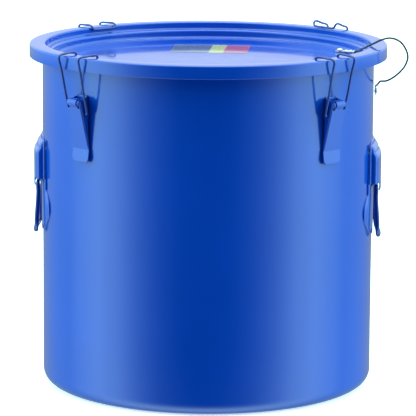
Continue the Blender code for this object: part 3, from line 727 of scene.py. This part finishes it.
def pin_mesh():
    half = [(0, -8.7, 0), (2.3, -8.7, 0.45), (2.3, -8.15, 0.1), (PIN_R, -8.1, 0), (PIN_R, 8.1, 0), (2.3, 8.15, 0.1),
            (2.3, 8.7, 0.45), (0, 8.7, 0)]
    mesh = turned("pin", filleted(half, 4), 28)
    mesh.transform(Matrix.Rotation(math.radians(90), 4, "Y"))
    return mesh


def bail_points(seated=True):
    top_z = HEIGHT - (PIVOT_Z + HOOK_DZ)
    base = BODY_R + PIVOT_H + HOOK_DH
    inside = math.sqrt((STEP_R - WIRE_R - GAP - 0.4) ** 2 - 15.6**2) - base
    bend_at = 18.2 - (PIVOT_H + HOOK_DH)
    low = top_z - 2.2
    if not seated:
        inside += 3.2
        low = top_z + WIRE_R + GAP + 0.2
    if seated:
        over = [
            (14.0, inside, low + 0.2),
            (15.4, inside, low + 1.4),
            (15.7, inside + 1.2, top_z + 1.4),
            (15.6, inside + 3.4, top_z + 2.3),
            (15.0, bend_at - 8.0, top_z + 1.8),
            (14.6, bend_at - 3.2, top_z + 1.5),
        ]
    else:
        over = [
            (13.8, inside, low + 0.4),
            (15.3, inside + 0.4, low + 2.2),
            (15.8, inside + 1.9, low + 4.6),
            (15.5, inside + 4.4, low + 4.9),
            (14.9, bend_at - 8.0, top_z + 3.6),
            (14.5, bend_at - 2.0, top_z + 1.7),
        ]
    return (
        [(0.0, inside, low), (9.0, inside, low)]
        + over
        + [
            (14.4, bend_at - 0.8, top_z + 0.3),
            (14.3, bend_at, top_z - 2.2),
            (14.2, bend_at - 0.7, top_z - 5.0),
            (13.9, bend_at - 3.0, top_z - 13.6),
            (13.5, bend_at - 8.2, top_z - 38.0),
            (13.0, 0.9, 5.0),
            (12.8, 0.2, 1.9),
            (12.3, 0.0, 0.4),
            (11.4, 0.0, 0.0),
            (9.6, 0.0, 0.0),
        ]
    )


def bail_mesh(seated):
    half = bail_points(seated)
    both = [(-x, y, z) for x, y, z in reversed(half[1:])] + half
    return tube("bail_wire", relaxed(smooth_route(both, 0.7), 3), WIRE_R, 16)


LEVER, BRACKET, PIN = lever_mesh(), base_mesh(), pin_mesh()
BAIL = {True: bail_mesh(True), False: bail_mesh(False)}
for key, angle in LATCHES.items():
    foot_at = around(BODY_R, angle, PIVOT_Z)
    pivot_at = around(BODY_R + PIVOT_H, angle, PIVOT_Z)
    hook_at = around(BODY_R + PIVOT_H + HOOK_DH, angle, PIVOT_Z + HOOK_DZ)
    put(f"bracket_{key}", BRACKET.copy(), PAINT_PRESS, "bucket", [f"latch_base_{key}"],
        turn_at(foot_at, angle + 180))
    put(f"pivot_{key}", PIN.copy(), PAINT_WIRE, "bucket", [f"latch_pin_{key}"],
        turn_at(pivot_at, angle + 180), sharp=60)
    put(f"lever_plate_{key}", LEVER.copy(), PAINT_PRESS, f"lever_{key}", [f"latch_lever_{key}"],
        turn_at(pivot_at, angle + 180))
    put(f"wire_bail_{key}", BAIL[key != "rr"].copy(), PAINT_WIRE, f"bail_{key}", [f"latch_bail_{key}"],
        turn_at(hook_at, angle + 180))


# --- handles ------------------------------------------------------------------------------
def ring_block(name, rows):
    """rows of (z, back radius, [(angle, front radius), ...]): a curved block."""
    n = len(rows[0][2])
    verts, faces = [], []
    for z, back, fronts in rows:
        for a, r in fronts:
            verts.append(tuple(around(r, a, z) / MM))
        for a, _ in reversed(fronts):
            verts.append(tuple(around(back, a, z) / MM))
    m = 2 * n
    for k in range(len(rows) - 1):
        for i in range(m):
            j = (i + 1) % m
            faces.append([k * m + i, k * m + j, (k + 1) * m + j, (k + 1) * m + i])
    for k in (0, len(rows) - 1):
        for i in range(n - 1):
            faces.append([k * m + i, k * m + i + 1, k * m + m - 2 - i, k * m + m - 1 - i])
    return mesh_of(name, verts, faces)


def backplate_mesh():
    back, front = BODY_R + 0.1, BODY_R + GAP + PLATE_T

    def oval(a):
        return 28.0 * math.sqrt(max(0.0, 1 - (a / 20.9) ** 2))

    def edges(a):
        low, high = 182.0 - oval(a), 252.0
        if abs(a) > 10.0:
            high -= 11.0 * ((abs(a) - 10.0) / 6.0) ** 2
        if abs(a) > 16.01:
            high = 182.0 + oval(a)
        return low, high

    side_angles = sorted({0.7 * i for i in range(1, 23)} | {15.6, 15.9, 16.0, 16.15, 16.6, 17.2, 18, 18.8, 19.5, 20.1, 20.5, 20.75})
    angles = [-a for a in reversed(side_angles)] + [0.0] + side_angles
    # the sheet's edge is rounded off over its thickness
    levels = [(0.0, back), (0.0, front - 0.45), (0.15, front - 0.15), (0.45, front)]
    verts, faces = [], []
    for a in angles:
        low, high = edges(a)
        for inset, r in levels:
            for z in (low + inset, max(low + inset + 0.2, high - inset)):
                verts.append(tuple(around(r, a, z) / MM))
    k = 2 * len(levels)
    for i in range(len(angles) - 1):
        p, q = k * i, k * (i + 1)
        faces.append([p, q, q + 1, p + 1])
        faces.append([p + k - 2, p + k - 1, q + k - 1, q + k - 2])
        for level in range(len(levels) - 1):
            a0, b0 = p + 2 * level, q + 2 * level
            faces.append([a0, a0 + 2, b0 + 2, b0])
            faces.append([a0 + 1, b0 + 1, b0 + 3, a0 + 3])
    for end, flip in ((0, False), (k * (len(angles) - 1), True)):
        for level in range(len(levels) - 1):
            c = end + 2 * level
            faces.append([c, c + 1, c + 3, c + 2] if not flip else [c, c + 2, c + 3, c + 1])
    return mesh_of("backplate", verts, faces)


def hood_mesh():
    back = BODY_R + GAP + PLATE_T + GAP
    edge = [0, 2, 4, 6, 8, 10, 11.5, 12.6, 13.3, 13.8, 14.15, 14.4, 14.6, 14.8, 15.1, 15.4, 15.7]

    def share(a):
        """How far the front stands out at this angle, from 1 in front to 0 at the foot."""
        if a < 12.6:
            return 1.0
        if a < 14.6:
            u = (a - 12.6) / 2.0
            return math.sqrt(max(0.0, 1 - u * u)) * 0.55 + 0.45
        return max(0.0, 0.45 * (1 - (a - 14.6) / 0.2))

    stations = [-a for a in reversed(edge[1:])] + edge

    def outer(radius):
        floor = back + 0.8
        return [(a, floor + max(0.0, radius - floor) * share(abs(a))) for a in stations]

    def inner_wall(radius):
        out = []
        for a in stations:
            b = math.copysign(min(abs(a), 14.3) * 0.985, a) if a else 0.0
            b += math.copysign(0.02 * abs(a), a) if a else 0.0
            s = share(abs(b))
            out.append((b, max(back - 0.6, back + (radius - back) * (s if s > 0.3 else 0.3))))
        return out

    heights = [
        (200.9, HOOD_R), (230.0, HOOD_R), (235.0, HOOD_R), (237.2, HOOD_R - 0.25), (238.8, HOOD_R - 0.9),
        (240.0, HOOD_R - 1.9), (241.0, BEAD_R + 0.5), (242.0, BEAD_R + 0.15), (243.6, BEAD_R), (244.8, BEAD_R - 0.5),
        (246.2, BEAD_R - 1.3), (247.6, BEAD_R - 2.4), (248.8, back + 1.3), (249.4, back + 0.8),
    ]
    solid = ring_block("hood", [(z, back, outer(r)) for z, r in heights])
    hollow = combined_hollow(back, inner_wall)
    steps = [("DIFFERENCE", hollow)]
    for sign in (-1, 1):
        rows = []
        for z, cut in ((190.0, 0.0), (205.8, 0.0), (207.6, 0.3), (209.0, 1.1), (209.8, 2.4)):
            a0, a1 = sorted((sign * (8.4 + cut), sign * 20.0))
            rows.append((z, back - 2, [(a0 + (a1 - a0) * i / 6, HOOD_R + 4) for i in range(7)]))
        steps.append(("DIFFERENCE", ring_block("notch", rows)))
    made = combined("hood", solid, steps)
    return pressed("hood_pressed", made, 0.42, 4, 0.35)


def combined_hollow(back, inner_wall):
    rows = [(190.0, HOOD_R - HOOD_T), (236.0, HOOD_R - HOOD_T), (240.2, BEAD_R - HOOD_T + 0.4),
            (243.4, BEAD_R - HOOD_T - 0.4), (246.8, back - 0.3)]
    return ring_block("hollow", [(z, back - 2, inner_wall(r)) for z, r in rows])


def ring_mesh():
    drop = RING_AXIS_Z - RING_BOTTOM - RING_R
    bow = math.hypot(RING_AXIS_R + RING_LEAN, RING_HALF)
    thin = 1.8
    points, radii = [], []

    def add(x, y, z, r=RING_R):
        points.append(Vector((x, y, z)))
        radii.append(r)

    def bowed(x):
        return math.sqrt(bow**2 - x**2) - RING_AXIS_R

    for x in (0.0, 12.0, 23.5):
        add(x, 0.0, 0.0, thin)
    for d in (15, 45, 75):
        a = math.radians(d)
        add(RING_HALF - 4 + 4 * math.sin(a), 0.0, -4 + 4 * math.cos(a), thin + (RING_R - thin) * d / 90)
    add(RING_HALF, -0.5, -8.0)
    add(RING_HALF, RING_LEAN - 0.2, -drop + 16.0)
    for d in (12, 34, 56, 78):
        a = math.radians(d)
        x = RING_HALF - 12.0 * (1 - math.cos(a))
        add(x, bowed(x), -drop + 12.0 * (1 - math.sin(a)))
    for x in (13.0, 6.5, 0.0):
        add(x, bowed(x), -drop)
    loop = points + [Vector((-p.x, p.y, p.z)) for p in points[1:-1]][::-1]
    wide = radii + radii[1:-1][::-1]
    fine = smooth_route(loop, 1.0, closed=True)
    sizes = []
    for p in fine:
        best = sorted(range(len(loop)), key=lambda i: (loop[i] - p).length)[:2]
        d0, d1 = (loop[best[0]] - p).length, (loop[best[1]] - p).length
        sizes.append((wide[best[0]] * d1 + wide[best[1]] * d0) / max(d0 + d1, 1e-6))
    return tube("ring", relaxed(fine, 2, True), sizes, 20, closed=True)


PLATE, HOOD, RING = backplate_mesh(), hood_mesh(), ring_mesh()
for key, (angle, lift) in HANDLES.items():
    up = Vector((0, 0, lift * MM))
    put(f"plate_{key}", PLATE.copy(), PAINT, "bucket", [f"handle_backplate_{key}"],
        turn_at(up, angle), sharp=40)
    put(f"hood_{key}", HOOD.copy(), PAINT_PRESS, "bucket", [f"handle_hood_{key}"], turn_at(up, angle))
    put(f"ring_grip_{key}", RING.copy(), PAINT_WIRE, f"ring_{key}", [f"handle_ring_{key}"],
        turn_at(around(RING_AXIS_R, angle, RING_AXIS_Z) + up, angle + 180))


# --- blank label on the lid ------------------------------------------------------------------
def label():
    wide, tall, thick = 79.0, 60.0, 0.12
    outline = filleted([(0, -tall / 2, 0), (wide / 2, -tall / 2, 2.0), (wide / 2, tall / 2, 2.0),
                        (-wide / 2, tall / 2, 2.0), (-wide / 2, -tall / 2, 2.0), (-0.01, -tall / 2, 0)], 5)
    mesh = prism("blank_label", outline, 0.0, thick, "Z")
    m, tree, shader = new_material("label_film")
    links = tree.links
    coords = tree.nodes.new("ShaderNodeTexCoord")
    parts = tree.nodes.new("ShaderNodeSeparateXYZ")
    links.new(coords.outputs["Object"], parts.inputs["Vector"])
    across = node(tree, "ShaderNodeMapRange", **{"From Min": -wide / 2 * MM, "From Max": wide / 2 * MM})
    links.new(parts.outputs["X"], across.inputs["Value"])
    bands = tree.nodes.new("ShaderNodeValToRGB")
    bands.color_ramp.interpolation = "CONSTANT"
    stops = [(0.0, (0.085, 0.09, 0.10)), (0.50, (0.72, 0.55, 0.03)), (0.69, (0.62, 0.035, 0.03))]
    while len(bands.color_ramp.elements) < len(stops):
        bands.color_ramp.elements.new(0.5)
    for element, (at, colour) in zip(bands.color_ramp.elements, stops):
        element.position, element.color = at, (*colour, 1)
    links.new(across.outputs["Result"], bands.inputs["Fac"])
    grain = node(tree, "ShaderNodeTexNoise", Scale=500.0, Detail=3.0)
    links.new(coords.outputs["Object"], grain.inputs["Vector"])
    print_wear = node(tree, "ShaderNodeMix", data_type="RGBA", blend_type="MULTIPLY")
    print_wear.inputs["Factor"].default_value = 0.25
    links.new(bands.outputs["Color"], print_wear.inputs["A"])
    links.new(ramp(tree, grain.outputs["Fac"], [(0.3, (0.7, 0.7, 0.7)), (0.7, (1, 1, 1))]), print_wear.inputs["B"])
    links.new(print_wear.outputs["Result"], shader.inputs["Base Color"])
    level = node(tree, "ShaderNodeMapRange", **{"From Min": 0.3, "From Max": 0.7, "To Min": 0.22, "To Max": 0.34})
    links.new(grain.outputs["Fac"], level.inputs["Value"])
    links.new(level.outputs["Result"], shader.inputs["Roughness"])
    bump = node(tree, "ShaderNodeBump", Strength=0.2, Distance=0.00004)
    links.new(grain.outputs["Fac"], bump.inputs["Height"])
    links.new(bump.outputs["Normal"], shader.inputs["Normal"])
    shader.inputs["Coat Weight"].default_value = 1.0
    shader.inputs["Coat Roughness"].default_value = 0.06
    at = Matrix.Translation(Vector((1.3, 64.7, DISC_Z + 0.02)) * MM) @ Matrix.Rotation(math.radians(-4.0), 4, "Z")
    put("blank_label", mesh, m, "lid", matrix=at, sharp=40)


label()


# --- studio ------------------------------------------------------------------------------------
def floor():
    mesh = bpy.data.meshes.new("floor")
    bm = bmesh.new()
    bmesh.ops.create_grid(bm, x_segments=2, y_segments=2, size=8.0)
    bm.to_mesh(mesh)
    bm.free()
    obj = bpy.data.objects.new("floor", mesh)
    bpy.context.scene.collection.objects.link(obj)
    m, tree, shader = new_material("floor_paper")
    coords = tree.nodes.new("ShaderNodeTexCoord")
    grain = node(tree, "ShaderNodeTexNoise", Scale=60.0, Detail=4.0)
    tree.links.new(coords.outputs["Object"], grain.inputs["Vector"])
    tree.links.new(ramp(tree, grain.outputs["Fac"], [(0.3, (0.86, 0.86, 0.86)), (0.7, (0.9, 0.9, 0.9))]), shader.inputs["Base Color"])
    shader.inputs["Roughness"].default_value = 0.9
    shader.inputs["Specular IOR Level"].default_value = 0.1
    shader.inputs["Emission Color"].default_value = (1, 1, 1, 1)
    shader.inputs["Emission Strength"].default_value = 0.5
    mesh.materials.append(m)
    obj.location = (0, 0, -0.0002)
    obj.visible_glossy = obj.visible_diffuse = False


def area(name, location, target, size, power, colour=(1, 1, 1)):
    data = bpy.data.lights.new(name, "AREA")
    data.shape = "RECTANGLE"
    data.size, data.size_y = size
    data.energy = power
    data.color = colour
    obj = bpy.data.objects.new(name, data)
    bpy.context.scene.collection.objects.link(obj)
    obj.location = location
    obj.rotation_mode = "QUATERNION"
    obj.rotation_quaternion = (Vector(target) - Vector(location)).to_track_quat("-Z", "Y")
    return obj


def sky():
    """A soft surround: dark where the camera stands, brightest to both sides, dimmer
    low down behind; plain white where it is seen directly."""
    world = bpy.data.worlds.new("studio")
    bpy.context.scene.world = world
    world.use_nodes = True
    tree = world.node_tree
    links = tree.links
    back = tree.nodes["Background"]
    coords = tree.nodes.new("ShaderNodeTexCoord")
    parts = tree.nodes.new("ShaderNodeSeparateXYZ")
    links.new(coords.outputs["Generated"], parts.inputs["Vector"])

    def span(output, *limits):
        n = tree.nodes.new("ShaderNodeMapRange")
        for key, value in zip(("From Min", "From Max", "To Min", "To Max"), limits):
            n.inputs[key].default_value = value
        links.new(parts.outputs[output], n.inputs["Value"])
        return n.outputs["Result"]

    def grey(v):
        return (v * 0.60, v * 0.98, v)

    shade = ramp(tree, span("Y", -1.0, 1.0, 0.0, 1.0), [
        (0.030, grey(0.0)), (0.095, grey(0.10)), (0.165, grey(0.32)), (0.30, grey(0.90)),
        (0.42, grey(1.0)), (0.60, grey(0.90)), (0.80, grey(0.60)), (1.0, (0.31, 0.36, 0.42))])
    low = tree.nodes.new("ShaderNodeMath")
    low.operation = "MULTIPLY"
    links.new(span("Y", -0.15, 0.35, 0.0, 1.0), low.inputs[0])
    links.new(span("Z", 0.04, -0.16, 0.0, 0.62), low.inputs[1])
    left = tree.nodes.new("ShaderNodeMath")
    left.operation = "SUBTRACT"
    left.inputs[0].default_value = 1.0
    links.new(low.outputs["Value"], left.inputs[1])
    power = tree.nodes.new("ShaderNodeMath")
    power.operation = "MULTIPLY"
    power.inputs[1].default_value = 2.3
    links.new(left.outputs["Value"], power.inputs[0])
    links.new(shade, back.inputs["Color"])
    links.new(power.outputs["Value"], back.inputs["Strength"])
    plain = tree.nodes.new("ShaderNodeBackground")
    plain.inputs["Color"].default_value = (1, 1, 1, 1)
    plain.inputs["Strength"].default_value = 1.05
    path = tree.nodes.new("ShaderNodeLightPath")
    either = tree.nodes.new("ShaderNodeMixShader")
    links.new(path.outputs["Is Camera Ray"], either.inputs["Fac"])
    links.new(back.outputs["Background"], either.inputs[1])
    links.new(plain.outputs["Background"], either.inputs[2])
    links.new(either.outputs["Shader"], tree.nodes["World Output"].inputs["Surface"])


floor()
sky()
area("top", (0, 0.6, 3.0), (0, 0.1, 0.2), (3.0, 2.0), 36)
for light in (
    area("fill_left", (-3.0, 0.0, 0.8), (0, 0, 0.2), (1.9, 2.4), 150, (0.25, 1.0, 0.56)),
    area("fill_right", (3.0, 0.0, 0.8), (0, 0, 0.2), (1.9, 2.4), 138, (0.25, 1.0, 0.56)),
):
    light.visible_glossy = False
bpy.context.scene.view_settings.view_transform = "Standard"
